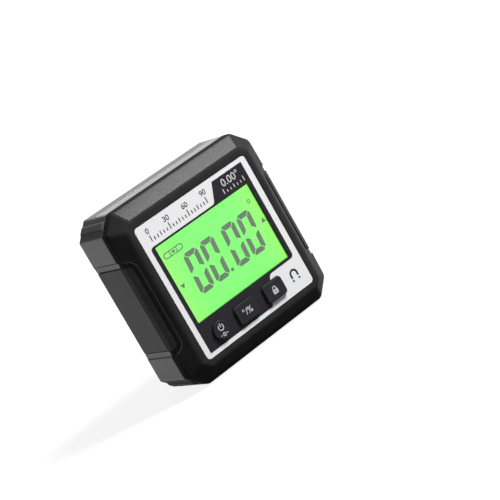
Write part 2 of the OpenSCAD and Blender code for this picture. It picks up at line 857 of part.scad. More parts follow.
module negative_contact() {
    color(metal_colour) seat() contact_sheet(bay_mid + cell_pitch / 2, false);
}

module bridge_contact() {
    x1 = bay_w / 2 - seat_gap / 2;
    x0 = x1 - contact_t;
    z = bay_mid + cell_pitch / 2;
    color(metal_colour) seat() {
        block([x0, cell_d - contact_w / 2, bay_mid - cell_pitch / 2 - contact_w / 2],
            [x1, cell_d + contact_w / 2, z + contact_w / 2]);
        translate([x0 + 0.1, cell_d, z]) rotate([0, -90, 0]) cylinder(h = dimple_h + 0.1, r1 = 2, r2 = 1.5);
    }
}

// a cone-shaped wire spring along X from the left-hand contact to the cell
module spring() {
    turns = 2.25;
    steps = 54;
    sides = 8;
    wire = spring_wire / 2;
    x0 = -bay_w / 2 + contact_t + 1.5 * seat_gap + wire;
    rise = spring_h - 2 * wire - seat_gap;
    points = [for (i = [0:steps]) for (j = [0:sides - 1])
        let(a = 360 * turns * i / steps, b = 360 * j / sides,
            r = 3.4 - 1.2 * i / steps + wire * cos(b), x = x0 + rise * i / steps + wire * sin(b))
        [x, r * cos(a), r * sin(a)]];
    skin = [for (i = [0:steps - 1]) for (j = [0:sides - 1])
        [i * sides + j, i * sides + (j + 1) % sides, (i + 1) * sides + (j + 1) % sides, (i + 1) * sides + j]];
    start = [for (j = [0:sides - 1]) sides - 1 - j];
    end = [for (j = [0:sides - 1]) steps * sides + j];
    polyhedron(points, concat(skin, [start], [end]));
}

module contact_springs() {
    color(steel_colour) seat() {
        translate([0, cell_d, bay_mid + cell_pitch / 2]) spring();
        translate([0, cell_d, bay_mid - cell_pitch / 2]) mirror([1, 0, 0]) spring();
    }
}

module base_magnets() {
    color(metal_colour) seat() for (x = [-magnet_x, magnet_x]) {
        translate([x, base_d, seat_gap]) cylinder(h = magnet_t, d = magnet_dia);
    }
}

front_bezel();
rear_housing();
battery_door();
grip_left();
grip_right();
front_grip_left();
front_grip_right();
front_label();
display_window();
power_button();
unit_button();
hold_button();
power_plunger();
unit_plunger();
hold_plunger();
switch_bodies();
front_polariser();
lcd_panel();
rear_polariser();
lcd_holder();
light_guide();
reflector_sheet();
backlight_leds();
contact_strip();
main_board();
controller_chip();
tilt_sensor();
crystal();
capacitors();
board_screws();
housing_screws();
upper_cell();
lower_cell();
positive_contact();
negative_contact();
bridge_contact();
contact_springs();
base_magnets();
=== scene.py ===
import json
import math

import bpy
from mathutils import Matrix, Quaternion, Vector

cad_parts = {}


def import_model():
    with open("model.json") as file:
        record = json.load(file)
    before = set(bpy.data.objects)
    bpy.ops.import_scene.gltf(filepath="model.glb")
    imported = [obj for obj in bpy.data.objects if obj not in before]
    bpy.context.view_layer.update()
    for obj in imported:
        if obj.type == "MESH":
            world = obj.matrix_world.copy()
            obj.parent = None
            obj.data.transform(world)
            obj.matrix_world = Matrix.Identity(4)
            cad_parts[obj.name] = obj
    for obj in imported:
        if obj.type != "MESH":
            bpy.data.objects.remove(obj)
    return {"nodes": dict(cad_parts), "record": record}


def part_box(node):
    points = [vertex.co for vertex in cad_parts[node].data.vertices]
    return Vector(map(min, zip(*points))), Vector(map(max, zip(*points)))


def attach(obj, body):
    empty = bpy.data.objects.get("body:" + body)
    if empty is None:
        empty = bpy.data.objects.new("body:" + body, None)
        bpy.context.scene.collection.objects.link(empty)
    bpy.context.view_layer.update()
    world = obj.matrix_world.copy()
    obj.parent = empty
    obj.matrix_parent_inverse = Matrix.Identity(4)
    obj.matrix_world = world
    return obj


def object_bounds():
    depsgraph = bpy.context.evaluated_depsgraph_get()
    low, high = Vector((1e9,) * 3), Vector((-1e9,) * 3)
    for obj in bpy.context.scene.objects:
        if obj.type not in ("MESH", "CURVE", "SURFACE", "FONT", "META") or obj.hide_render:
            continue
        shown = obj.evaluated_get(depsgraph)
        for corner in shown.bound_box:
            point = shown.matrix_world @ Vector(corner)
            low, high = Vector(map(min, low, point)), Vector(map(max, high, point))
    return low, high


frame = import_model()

cad_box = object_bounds()
scene = bpy.context.scene
scene.view_settings.view_transform = "Standard"
node_objects = frame["nodes"]

# Lengths times MM, and those of the stage, are in metres; other lengths are in millimetres.
# Angles are in degrees. Sizes in threes are a rectangle's width, height and corner radius.
MM = 0.001
INK = 0.03 * MM
ARC_STEPS = 8
RING_STEPS = 40

# Forms of the body, in millimetres
BEVEL_DEPTH = 3.5
BEVEL_WIDTH = 4.6
CORNER_LEG = 5.0
PARTING_DEPTH = 6.0
JOINT_WIDTH = 0.4
WITNESS_DEPTH = 13.5
POCKET_MIDDLE = 28.6
POCKET_REACH = 15.9
RIM_TOP = 0.10
RIM_FLOOR = 0.63
BLOCK_RISE = 0.5

# Places from the frame, in metres
lens_low, lens_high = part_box("display_window")
label_low, label_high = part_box("front_label")
bezel_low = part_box("front_bezel")[0]
front_y = label_low.y
display_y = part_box("front_polariser")[0].y
key_top_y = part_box("power_button")[0].y
land_y = bezel_low.y + BEVEL_DEPTH * MM
half_width = cad_box[1][0]
top_z = cad_box[1][2]
middle_z = (cad_box[0][2] + top_z) / 2


def middle(node):
    """The middle of a CAD node in X and Z, as millimetres."""
    low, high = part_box(node)
    return (low.x + high.x) / 2 / MM, (low.z + high.z) / 2 / MM


# Outlines


def arc(x, z, radius, start, end, steps=ARC_STEPS):
    """Points of an arc, with angles in degrees."""
    angles = [math.radians(start + (end - start) * i / steps) for i in range(steps + 1)]
    return [(x + radius * math.cos(a), z + radius * math.sin(a)) for a in angles]


def circle(x, z, radius):
    return arc(x, z, radius, 0, 360, RING_STEPS)[:-1]


def rounded(corners):
    """A closed outline from corners (x, z, radius), each rounded by an arc that touches both sides."""
    points = []
    for i, (x, z, radius) in enumerate(corners):
        corner = Vector((x, z))
        before = (Vector(corners[i - 1][:2]) - corner).normalized()
        after = (Vector(corners[(i + 1) % len(corners)][:2]) - corner).normalized()
        half = before.angle(after) / 2
        centre = corner + (before + after).normalized() * radius / math.sin(half)
        reach = radius / math.tan(half)
        start = corner + before * reach - centre
        end = corner + after * reach - centre
        turn = start.angle_signed(end)
        for k in range(ARC_STEPS + 1):
            spoke = start.copy()
            spoke.rotate(Matrix.Rotation(-turn * k / ARC_STEPS, 2))
            points.append(tuple(centre + spoke))
    return points


def rectangle(x, z, width, height, radius):
    """A rectangle with rounded corners about its middle."""
    quarters = ((-1, -1), (1, -1), (1, 1), (-1, 1))
    return rounded([(x + across * width / 2, z + up * height / 2, radius) for across, up in quarters])


def triangle(x, z, width, height):
    """A triangle about its middle, pointing down where the height is negative."""
    return [(x - width / 2, z - height / 2), (x + width / 2, z - height / 2), (x, z + height / 2)]


def bent_strip(path, width):
    """A closed outline of that width along an open path of points."""
    left = []
    right = []
    for i, point in enumerate(path):
        here = Vector(point)
        ahead = Vector(path[min(i + 1, len(path) - 1)]) - Vector(path[max(i - 1, 0)])
        side = Vector((-ahead.y, ahead.x)).normalized() * width / 2
        left.append(tuple(here + side))
        right.append(tuple(here - side))
    return left + right[::-1]


def arch(x, z, radius, leg, width, steps):
    """A half ring about a middle, with two straight legs below it."""
    path = [(x + radius, z - leg), *arc(x, z, radius, 0, 180, steps), (x - radius, z - leg)]
    return bent_strip(path, width)


def thin_piece(name, drawing, x, y, z, body, material):
    """Turns a filled curve or a text into a thin mesh that faces the front and rides a body."""
    drawn = bpy.data.objects.new(name + "_drawing", drawing)
    scene.collection.objects.link(drawn)
    bpy.context.view_layer.update()
    mesh = bpy.data.meshes.new_from_object(drawn.evaluated_get(bpy.context.evaluated_depsgraph_get()))
    mesh.name = name
    bpy.data.objects.remove(drawn)
    mesh.transform(Matrix.Translation((x, y, z)) @ Matrix.Rotation(math.pi / 2, 4, "X"))
    mesh.materials.clear()
    mesh.materials.append(material)
    piece = bpy.data.objects.new(name, mesh)
    scene.collection.objects.link(piece)
    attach(piece, body)


def printed(name, outlines, y, body, material, thick=INK):
    """A thin layer whose back lies at y: outlines inside others are holes."""
    curve = bpy.data.curves.new(name, "CURVE")
    curve.dimensions = "2D"
    curve.fill_mode = "BOTH"
    curve.extrude = thick / 2
    for outline in outlines:
        spline = curve.splines.new("POLY")
        spline.points.add(len(outline) - 1)
        spline.use_cyclic_u = True
        for point, (x, z) in zip(spline.points, outline):
            point.co = (x * MM, z * MM, 0, 1)
    thin_piece(name, curve, 0, y - thick / 2, 0, body, material)


FIGURE_SHARE = 0.72
FIGURE_SWELL = 0.02 * MM


def number(name, figures, x, z, height, y, body, material):
    """Plain figures in Blender's own font, with their back at y."""
    font = bpy.data.curves.new(name, "FONT")
    font.body = figures
    font.size = height * MM / FIGURE_SHARE
    font.align_x = "CENTER"
    font.offset = FIGURE_SWELL
    font.extrude = INK / 2
    thin_piece(name, font, x * MM, y - INK / 2, z * MM, body, material)


# Tools for materials

NOISE_LOW = 0.3
NOISE_HIGH = 0.7
WORN_EDGE = 0.35 * MM
FULLY_WORN = 0.80
UNWORN = 0.99
WHITE = (1, 1, 1)
BLACK = (0, 0, 0)


def new_material(name):
    """A material with its node tree and its main shader."""
    material = bpy.data.materials.new(name)
    material.use_nodes = True
    tree = material.node_tree
    return material, tree, tree.nodes["Principled BSDF"]


def shade(colour, factor):
    return tuple(min(c * factor, 1) for c in colour)


def place(tree):
    return tree.nodes.new("ShaderNodeTexCoord").outputs["Object"]


def coordinates(tree, position):
    """The X, Y and Z of a position, by name."""
    parts = tree.nodes.new("ShaderNodeSeparateXYZ")
    tree.links.new(position, parts.inputs["Vector"])
    return parts.outputs


def maths(tree, operation, *terms):
    """One step of arithmetic in a node tree; a term is a socket or a number."""
    node = tree.nodes.new("ShaderNodeMath")
    node.operation = operation
    for socket, term in zip(node.inputs, terms):
        if isinstance(term, (int, float)):
            socket.default_value = term
        else:
            tree.links.new(term, socket)
    return node.outputs["Value"]


def apart(tree, value, other):
    """How far a value lies from a number."""
    return maths(tree, "ABSOLUTE", maths(tree, "SUBTRACT", value, other))


def noise(tree, size, detail=3.0, stretch=(1, 1, 1)):
    """Noise with features of about that size, mostly between NOISE_LOW and NOISE_HIGH."""
    mapping = tree.nodes.new("ShaderNodeMapping")
    mapping.inputs["Scale"].default_value = stretch
    tree.links.new(place(tree), mapping.inputs["Vector"])
    node = tree.nodes.new("ShaderNodeTexNoise")
    node.inputs["Scale"].default_value = 1 / size
    node.inputs["Detail"].default_value = detail
    tree.links.new(mapping.outputs["Vector"], node.inputs["Vector"])
    return node.outputs["Fac"]


def spread(tree, value, low, high, start=NOISE_LOW, end=NOISE_HIGH):
    """Stretches a value to a new range."""
    node = tree.nodes.new("ShaderNodeMapRange")
    node.inputs["From Min"].default_value = start
    node.inputs["From Max"].default_value = end
    node.inputs["To Min"].default_value = low
    node.inputs["To Max"].default_value = high
    tree.links.new(value, node.inputs["Value"])
    return node.outputs["Result"]


def rise(tree, value, start, end):
    """Goes from 0 to 1 between two values in millimetres, which may come in either order."""
    return spread(tree, value, 0, 1, start * MM, end * MM)


def along(tree, axis, low, high):
    """Where a point lies between two places on an axis, from 0 to 1."""
    return spread(tree, coordinates(tree, place(tree))[axis], 0, 1, low, high)


def beyond(tree, axis, border, fade):
    """1 past a border on an axis and 0 before it; a negative fade turns it round."""
    return along(tree, axis, border - fade, border + fade)


def ramp(tree, value, stops):
    """A colour from a value, by stops (position, colour)."""
    node = tree.nodes.new("ShaderNodeValToRGB")
    while len(node.color_ramp.elements) < len(stops):
        node.color_ramp.elements.new(1.0)
    for element, (position, colour) in zip(node.color_ramp.elements, stops):
        element.position = position
        element.color = (*colour, 1)
    tree.links.new(value, node.inputs["Fac"])
    return node.outputs["Color"]


def mottled(tree, value, colour, low, high):
    """A colour that goes from one shade to another with a noise."""
    return ramp(tree, value, [(NOISE_LOW, shade(colour, low)), (NOISE_HIGH, shade(colour, high))])


def mixed(tree, amount, first, second):
    """Two colours mixed; a colour is a socket or three numbers."""
    node = tree.nodes.new("ShaderNodeMix")
    node.data_type = "RGBA"
    tree.links.new(amount, node.inputs["Factor"])
    for socket, colour in ((node.inputs[6], first), (node.inputs[7], second)):
        if isinstance(colour, tuple):
            socket.default_value = (*colour, 1)
        else:
            tree.links.new(colour, socket)
    return node.outputs[2]


def bump(tree, shader, height, depth, strength=1.0):
    node = tree.nodes.new("ShaderNodeBump")
    node.inputs["Strength"].default_value = strength
    node.inputs["Distance"].default_value = depth
    tree.links.new(height, node.inputs["Height"])
    tree.links.new(node.outputs["Normal"], shader.inputs["Normal"])


def edges(tree):
    """1 along sharp edges and 0 on faces, for wear and for painted highlights."""
    worn = tree.nodes.new("ShaderNodeBevel")
    worn.inputs["Radius"].default_value = WORN_EDGE
    surface = tree.nodes.new("ShaderNodeNewGeometry")
    agree = tree.nodes.new("ShaderNodeVectorMath")
    agree.operation = "DOT_PRODUCT"
    tree.links.new(worn.outputs["Normal"], agree.inputs[0])
    tree.links.new(surface.outputs["Normal"], agree.inputs[1])
    return spread(tree, agree.outputs["Value"], 1, 0, FULLY_WORN, UNWORN)


# Places on the body, for masks and for edge rounding


def outline_planes(tree, position):
    """How far a point lies outside the body's nearest side plane and its nearest corner plane."""
    at = coordinates(tree, position)
    across = maths(tree, "ABSOLUTE", at["X"])
    upright = apart(tree, at["Z"], middle_z)
    to_side = maths(tree, "SUBTRACT", maths(tree, "MAXIMUM", across, upright), half_width)
    spare = maths(tree, "SUBTRACT", maths(tree, "ADD", across, upright), 2 * half_width - CORNER_LEG * MM)
    return to_side, maths(tree, "MULTIPLY", spare, math.sqrt(0.5))


def facet_inset(tree, y):
    """The depth behind the front, and how far the sloping facets stand in from the outline there."""
    depth = maths(tree, "SUBTRACT", y, bezel_low.y)
    return depth, maths(tree, "MULTIPLY_ADD", depth, -BEVEL_WIDTH / BEVEL_DEPTH, BEVEL_WIDTH * MM)


# Limits of the pocket rims, where a highlight is painted, in millimetres
RIM_FADE = 0.03
RING_END = 0.6
RING_FADE = 0.2
LAND_NEAR = 0.3
LAND_FADE = 0.2
POCKET_FADE = 0.2


def on_rim(tree):
    """1 on the sloping rims of the two grip pockets, which lie just under the bezel's side bevels, for a
    painted highlight.
    """
    at = coordinates(tree, place(tree))
    depth, inset = facet_inset(tree, at["Y"])
    inside = maths(tree, "SUBTRACT", half_width, maths(tree, "ABSOLUTE", at["X"]))
    sunk = maths(tree, "SUBTRACT", inside, inset)
    from_middle = apart(tree, at["Z"], POCKET_MIDDLE * MM)
    land_start = BEVEL_DEPTH - LAND_NEAR
    mask = rise(tree, sunk, RIM_TOP, RIM_TOP + RIM_FADE)
    for limit in (
        rise(tree, sunk, RIM_FLOOR, RIM_FLOOR - RIM_FADE),
        rise(tree, depth, RING_END, RING_END + RING_FADE),
        rise(tree, depth, land_start + LAND_FADE, land_start),
        rise(tree, from_middle, POCKET_REACH + POCKET_FADE, POCKET_REACH),
    ):
        mask = maths(tree, "MULTIPLY", mask, limit)
    return mask


# Painted shade lines on the side blocks, in millimetres
LINE_HALF = 0.10
LINE_END = 0.22
BLOCK_FADE = 0.1


def on_block_shade_line(tree):
    """1 along the fine lines where the raised side blocks slope down to the grip pockets, for painted shade.
    """
    at = coordinates(tree, place(tree))
    from_middle = apart(tree, at["Z"], POCKET_MIDDLE * MM)
    near = rise(tree, apart(tree, from_middle, POCKET_REACH * MM), LINE_END, LINE_HALF)
    block_x = half_width / MM - BLOCK_RISE
    on_block = rise(tree, maths(tree, "ABSOLUTE", at["X"]), block_x - BLOCK_FADE, block_x)
    return maths(tree, "MULTIPLY", near, on_block)


# Materials

CLOUD_SIZE = 6 * MM
FINE_DETAIL = 4
STREAK_DETAIL = 5
GRAIN_GLOSS = 0.06
INK_GLOSS = 0.05


def moulded(name, colour, roughness, grain, depth, wear=1.6, gloss=0.5):
    """Moulded plastic or rubber: a fine spark-eroded grain, faint clouding, and paler edges."""
    material, tree, shader = new_material(name)
    clouded = mottled(tree, noise(tree, CLOUD_SIZE), colour, 0.86, 1.14)
    worn = mixed(tree, edges(tree), clouded, shade(colour, wear))
    tree.links.new(worn, shader.inputs["Base Color"])
    grains = noise(tree, grain, FINE_DETAIL)
    uneven = spread(tree, grains, roughness - GRAIN_GLOSS, roughness + GRAIN_GLOSS)
    tree.links.new(uneven, shader.inputs["Roughness"])
    shader.inputs["Specular IOR Level"].default_value = gloss
    bump(tree, shader, grains, depth)
    return material


def moulded_sockets(material):
    """A moulded material's tree and shader, with what feeds its roughness and its colour."""
    tree = material.node_tree
    shader = tree.nodes["Principled BSDF"]
    sources = [shader.inputs[name].links[0].from_socket for name in ("Roughness", "Base Color")]
    return tree, shader, *sources


# Painted highlight on pocket rims and edges, and painted shade on the land by the joint
PAINTED_HIGHLIGHT = 6
LAND_SHADE = 0.6
LAND_DULL = 0.6
BEZEL_FADE = 0.1 * MM
LABEL_FOOT = 0.6 * MM


def bezel_black(name, colour, roughness, gloss):
    """Satin black; dull with painted shade on the land at the housing; painted highlights on rims and edges.
    """
    material = moulded(name, colour, roughness, 0.22 * MM, 0.012 * MM, gloss=gloss)
    tree, shader, satin, tint = moulded_sockets(material)
    on_land = beyond(tree, "Y", land_y, BEZEL_FADE)
    tree.links.new(maths(tree, "MULTIPLY_ADD", on_land, LAND_DULL, satin), shader.inputs["Roughness"])
    # Painted shade: the narrow land next to the joint is coloured darker, besides being rougher.
    land_shaded = mixed(tree, on_land, tint, shade(colour, LAND_SHADE))
    behind_label = beyond(tree, "Y", bezel_low.y + LABEL_FOOT, BEZEL_FADE)
    # Painted highlight: pocket rims and the edges behind the label's foot are coloured pale.
    highlight_mask = maths(tree, "MULTIPLY", behind_label, edges(tree))
    highlight_mask = maths(tree, "MAXIMUM", highlight_mask, on_rim(tree))
    tree.links.new(mixed(tree, highlight_mask, land_shaded, shade(colour, PAINTED_HIGHLIGHT)), shader.inputs["Base Color"])
    return material


# Colours of painted shade: the joint's shadow, the corner planes and the block lines
JOINT_SHADOW = (0.008, 0.008, 0.008)
CORNER_SHADE = 0.25
LINE_SHADE = 0.3
MASK_DULL = 0.5
MASK_EDGE = 0.05 * MM
POLISH = 0.10
POLISH_DEPTH = 0.3 * MM
POLISH_EDGE = 0.1 * MM

# Where the corner planes' mask starts and ends, in millimetres
CORNER_IN = -0.15
CORNER_OUT = -0.05


def housing_grey(name, colour, roughness):
    """Charcoal with a polished top band; painted shade at the joint, block lines and corners; painted
    highlights on corner edges.
    """
    material = moulded(name, colour, roughness, 0.25 * MM, 0.010 * MM)
    tree, shader, grained, tint = moulded_sockets(material)
    # Painted shadow: a narrow band of the housing at the joint is coloured near black, and made rougher.
    on_joint_shadow = beyond(tree, "Y", bezel_low.y + (PARTING_DEPTH + JOINT_WIDTH) * MM, -MASK_EDGE)
    before_witness = beyond(tree, "Y", bezel_low.y + WITNESS_DEPTH * MM, -MASK_EDGE)
    on_top = beyond(tree, "Z", top_z - POLISH_DEPTH, POLISH_EDGE)
    polished = maths(tree, "MULTIPLY", before_witness, on_top)
    smoothed = maths(tree, "MULTIPLY_ADD", polished, POLISH - roughness, grained)
    on_corner = rise(tree, outline_planes(tree, place(tree))[1], CORNER_IN, CORNER_OUT)
    on_shade_line = on_block_shade_line(tree)
    dull = maths(tree, "MAXIMUM", maths(tree, "MAXIMUM", on_joint_shadow, on_shade_line), on_corner)
    tree.links.new(maths(tree, "MULTIPLY_ADD", dull, MASK_DULL, smoothed), shader.inputs["Roughness"])
    # Painted shade and highlight: the corner planes are coloured darker and their edges pale.
    corner = mixed(tree, edges(tree), shade(colour, CORNER_SHADE), shade(colour, PAINTED_HIGHLIGHT))
    # Painted shade: fine dark lines where the side blocks slope down to the pockets.
    shade_lined = mixed(tree, on_shade_line, tint, shade(colour, LINE_SHADE))
    cornered = mixed(tree, on_corner, shade_lined, corner)
    tree.links.new(mixed(tree, on_joint_shadow, cornered, JOINT_SHADOW), shader.inputs["Base Color"])
    return material


def metal(name, colour, roughness, stretch):
    """Rolled or turned metal with fine lines along one axis."""
    material, tree, shader = new_material(name)
    lines = noise(tree, 0.3 * MM, STREAK_DETAIL, stretch)
    tree.links.new(mottled(tree, lines, colour, 0.85, 1.05), shader.inputs["Base Color"])
    tree.links.new(spread(tree, lines, roughness - 0.08, roughness + 0.1), shader.inputs["Roughness"])
    shader.inputs["Metallic"].default_value = 1
    bump(tree, shader, lines, 0.01 * MM, 0.4)
    return material


def ink(name, colour, roughness, gloss=0.5):
    """Screen-printed ink: a little uneven in tone and gloss."""
    material, tree, shader = new_material(name)
    speckle = noise(tree, 0.4 * MM, FINE_DETAIL)
    tree.links.new(mottled(tree, speckle, colour, 0.9, 1.1), shader.inputs["Base Color"])
    uneven = spread(tree, speckle, roughness - INK_GLOSS, roughness + INK_GLOSS)
    tree.links.new(uneven, shader.inputs["Roughness"])
    shader.inputs["Specular IOR Level"].default_value = gloss
    bump(tree, shader, speckle, 0.006 * MM)
    return material


LAMP_REACH = 0.22
UNLIT_FACE = (0.02, 0.04, 0.02)


def glowing(name, middle_colour, end_colour):
    """The lit face of the display, yellower towards its two ends where the lamps sit."""
    material, tree, shader = new_material(name)
    run = along(tree, "X", lens_low.x, lens_high.x)
    stops = [(0, end_colour), (LAMP_REACH, middle_colour), (1 - LAMP_REACH, middle_colour), (1, end_colour)]
    glow = ramp(tree, run, stops)
    cloud = spread(tree, noise(tree, 5 * MM), 0.94, 1.0)
    toned = mixed(tree, cloud, shade(middle_colour, 0.8), glow)
    tree.links.new(toned, shader.inputs["Emission Color"])
    shader.inputs["Emission Strength"].default_value = 1
    shader.inputs["Base Color"].default_value = (*UNLIT_FACE, 1)
    shader.inputs["Roughness"].default_value = 0.5
    return material


def see_through(name, colour, roughness, index):
    """Clear plastic or glass with faint smears."""
    material, tree, shader = new_material(name)
    smears = noise(tree, 4 * MM, STREAK_DETAIL, (1, 1, 2.5))
    tree.links.new(spread(tree, smears, 0, roughness), shader.inputs["Roughness"])
    shader.inputs["Base Color"].default_value = (*colour, 1)
    shader.inputs["Transmission Weight"].default_value = 1
    shader.inputs["IOR"].default_value = index
    return material


def board_green(name):
    """Solder mask over copper tracks."""
    material, tree, shader = new_material(name)
    tracks = tree.nodes.new("ShaderNodeTexBrick")
    tracks.inputs["Scale"].default_value = 260
    tracks.inputs["Mortar Size"].default_value = 0.06
    tracks.inputs["Color1"].default_value = (0.012, 0.11, 0.04, 1)
    tracks.inputs["Color2"].default_value = (0.010, 0.09, 0.03, 1)
    tracks.inputs["Mortar"].default_value = (0.03, 0.19, 0.07, 1)
    turned = tree.nodes.new("ShaderNodeMapping")
    turned.inputs["Rotation"].default_value = (math.pi / 2, 0, 0)
    tree.links.new(place(tree), turned.inputs["Vector"])
    tree.links.new(turned.outputs["Vector"], tracks.inputs["Vector"])
    tree.links.new(tracks.outputs["Color"], shader.inputs["Base Color"])
    tree.links.new(spread(tree, noise(tree, 1 * MM), 0.25, 0.4), shader.inputs["Roughness"])
    bump(tree, shader, tracks.outputs["Fac"], 0.02 * MM)
    return material


SLEEVE_START = 0.008
BAND_START = 0.74
SLEEVE_END = 0.962
SLEEVE_SLATE = (0.055, 0.085, 0.120)
BAND_PALE = (0.52, 0.53, 0.52)
CELL_STEEL = (0.62, 0.62, 0.64)
SCUFF_GREY = (0.3, 0.3, 0.3)
CELL_GAP_FADE = 0.05 * MM


def cell_wrap(name):
    """The cells' plain sleeves, each with a pale band towards its positive end, between bare metal ends."""
    material, tree, shader = new_material(name)
    upper_low, upper_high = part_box("upper_cell")
    lower_low, lower_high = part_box("lower_cell")
    onward = along(tree, "X", upper_low.x, upper_high.x)
    turned = along(tree, "X", lower_high.x, lower_low.x)
    in_lower = beyond(tree, "Z", (upper_low.z + lower_high.z) / 2, -CELL_GAP_FADE)
    run = maths(tree, "MULTIPLY_ADD", in_lower, maths(tree, "SUBTRACT", turned, onward), onward)
    colour = ramp(tree, run, [
        (0, CELL_STEEL),
        (SLEEVE_START, SLEEVE_SLATE),
        (BAND_START, BAND_PALE),
        (SLEEVE_END, CELL_STEEL),
    ])
    bare = ramp(tree, run, [(0, WHITE), (SLEEVE_START, BLACK), (SLEEVE_END, WHITE)])
    for socket in (colour, bare):
        socket.node.color_ramp.interpolation = "CONSTANT"
    scuffs = noise(tree, 0.8 * MM, STREAK_DETAIL, (1, 6, 6))
    scuffed = mixed(tree, spread(tree, scuffs, 0, 0.12), colour, SCUFF_GREY)
    tree.links.new(scuffed, shader.inputs["Base Color"])
    tree.links.new(bare, shader.inputs["Metallic"])
    tree.links.new(spread(tree, scuffs, 0.22, 0.36), shader.inputs["Roughness"])
    return material


materials = {
    "bezel_plastic": bezel_black("bezel_plastic", (0.026, 0.026, 0.027), 0.25, 0.028),
    "housing_plastic": housing_grey("housing_plastic", (0.048, 0.048, 0.050), 0.36),
    "front_rubber": moulded("front_rubber", (0.050, 0.050, 0.052), 0.65, 0.16 * MM, 0.030 * MM, 1.2, 0.05),
    "grip_rubber": moulded("grip_rubber", (0.034, 0.034, 0.035), 0.62, 0.16 * MM, 0.030 * MM, 1.3, 0.42),
    "key_rubber": moulded("key_rubber", (0.020, 0.020, 0.022), 0.55, 0.18 * MM, 0.018 * MM, 1.5, 0.12),
    "label_film": ink("label_film", (0.82, 0.82, 0.83), 0.42, 0.3),
    "clear_window": see_through("clear_window", (0.97, 1.0, 0.97), 0.03, 1.49),
    "switch_plastic": moulded("switch_plastic", (0.015, 0.015, 0.016), 0.5, 0.2 * MM, 0.01 * MM),
    "polariser_film": glowing("polariser_film", (0.155, 1.0, 0.105), (0.28, 1.0, 0.09)),
    "display_glass": see_through("display_glass", (0.80, 0.95, 0.80), 0.02, 1.52),
    "white_plastic": moulded("white_plastic", (0.72, 0.73, 0.70), 0.45, 0.3 * MM, 0.01 * MM, 1.05),
    "light_guide": see_through("light_guide", (0.90, 1.0, 0.85), 0.10, 1.49),
    "led_package": moulded("led_package", (0.80, 0.78, 0.52), 0.4, 0.3 * MM, 0.01 * MM, 1.05),
    "contact_rubber": moulded("contact_rubber", (0.62, 0.26, 0.25), 0.6, 0.2 * MM, 0.02 * MM, 1.1),
    "circuit_board": board_green("circuit_board"),
    "chip_plastic": moulded("chip_plastic", (0.012, 0.012, 0.013), 0.5, 0.15 * MM, 0.01 * MM),
    "capacitor_ceramic": moulded("capacitor_ceramic", (0.42, 0.27, 0.13), 0.5, 0.2 * MM, 0.01 * MM, 1.2),
    "bright_metal": metal("bright_metal", (0.72, 0.72, 0.74), 0.25, (1, 1, 12)),
    "screw_steel": metal("screw_steel", (0.50, 0.51, 0.53), 0.32, (1, 8, 1)),
    "cell_sleeve": cell_wrap("cell_sleeve"),
}

black_ink = ink("black_ink", (0.020, 0.018, 0.022), 0.40, 0.1)
grey_ink = ink("grey_ink", (0.035, 0.035, 0.038), 0.45, 0.2)
pale_ink = ink("pale_ink", (0.58, 0.58, 0.60), 0.45, 0.3)
segment_glow = glowing("segment_glow", (0.045, 0.085, 0.042), (0.050, 0.090, 0.040))

for part in frame["record"]["subparts"]:
    surfaces = node_objects[part["node"]].data.materials
    surfaces.clear()
    surfaces.append(materials[part["material_slot"]])

# Softened edges on what shows outside

SHARP_ANGLE = 24
FLAT_ANGLE = 0.5
WELD_REACH = 0.002 * MM
ON_PLANE = -0.05 * MM
OVER_ONE_PLANE = 1.5
FACET_ROUND = 0.7 * MM
FACET_STEPS = 3
HOUSING_SHARE = 0.15
PAD_ROUND = 0.12 * MM
KEY_ROUND = 0.20 * MM
MAGNET_ROUND = 0.15 * MM
SMALL_STEPS = 2


def joined(node):
    """Joins a CAD node's facets into whole faces by modifiers, with its mesh left as it is."""
    modifiers = node_objects[node].modifiers
    weld = modifiers.new("weld", "WELD")
    weld.merge_threshold = WELD_REACH
    merge = modifiers.new("merge", "DECIMATE")
    merge.decimate_type = "DISSOLVE"
    merge.angle_limit = math.radians(FLAT_ANGLE)
    return modifiers


def rounded_off(modifiers, width, steps, limit):
    """Rounds the edges that a limit picks out, and keeps large faces flat in the shading."""
    bevel = modifiers.new("bevel", "BEVEL")
    bevel.width = width
    bevel.segments = steps
    bevel.limit_method = limit
    bevel.angle_limit = math.radians(SHARP_ANGLE)
    bevel.use_clamp_overlap = False
    modifiers.new("normals", "WEIGHTED_NORMAL")


def edge_marks(name, sloped, other_edges):
    """A node group that marks sharp edges for the bevel modifier: fully where two outer planes meet."""
    tree = bpy.data.node_groups.new(name, "GeometryNodeTree")
    for way in ("INPUT", "OUTPUT"):
        tree.interface.new_socket("Geometry", in_out=way, socket_type="NodeSocketGeometry")
    position = tree.nodes.new("GeometryNodeInputPosition").outputs["Position"]
    planes = [*outline_planes(tree, position)]
    if sloped:
        depth, inset = facet_inset(tree, coordinates(tree, position)["Y"])
        planes += [maths(tree, "ADD", plane, inset) for plane in planes]
        planes.append(maths(tree, "MULTIPLY", depth, -1))
    count = 0
    for plane in planes:
        count = maths(tree, "ADD", maths(tree, "GREATER_THAN", plane, ON_PLANE), count)
    meeting = maths(tree, "GREATER_THAN", count, OVER_ONE_PLANE)
    angle = tree.nodes.new("GeometryNodeInputMeshEdgeAngle").outputs["Unsigned Angle"]
    sharp = maths(tree, "GREATER_THAN", angle, math.radians(SHARP_ANGLE))
    marked = maths(tree, "MULTIPLY", sharp, maths(tree, "MAXIMUM", meeting, other_edges))
    store = tree.nodes.new("GeometryNodeStoreNamedAttribute")
    store.data_type = "FLOAT"
    store.domain = "EDGE"
    store.inputs["Name"].default_value = "bevel_weight_edge"
    tree.links.new(marked, store.inputs["Value"])
    tree.links.new(tree.nodes.new("NodeGroupInput").outputs["Geometry"], store.inputs["Geometry"])
    tree.links.new(store.outputs["Geometry"], tree.nodes.new("NodeGroupOutput").inputs["Geometry"])
    return tree


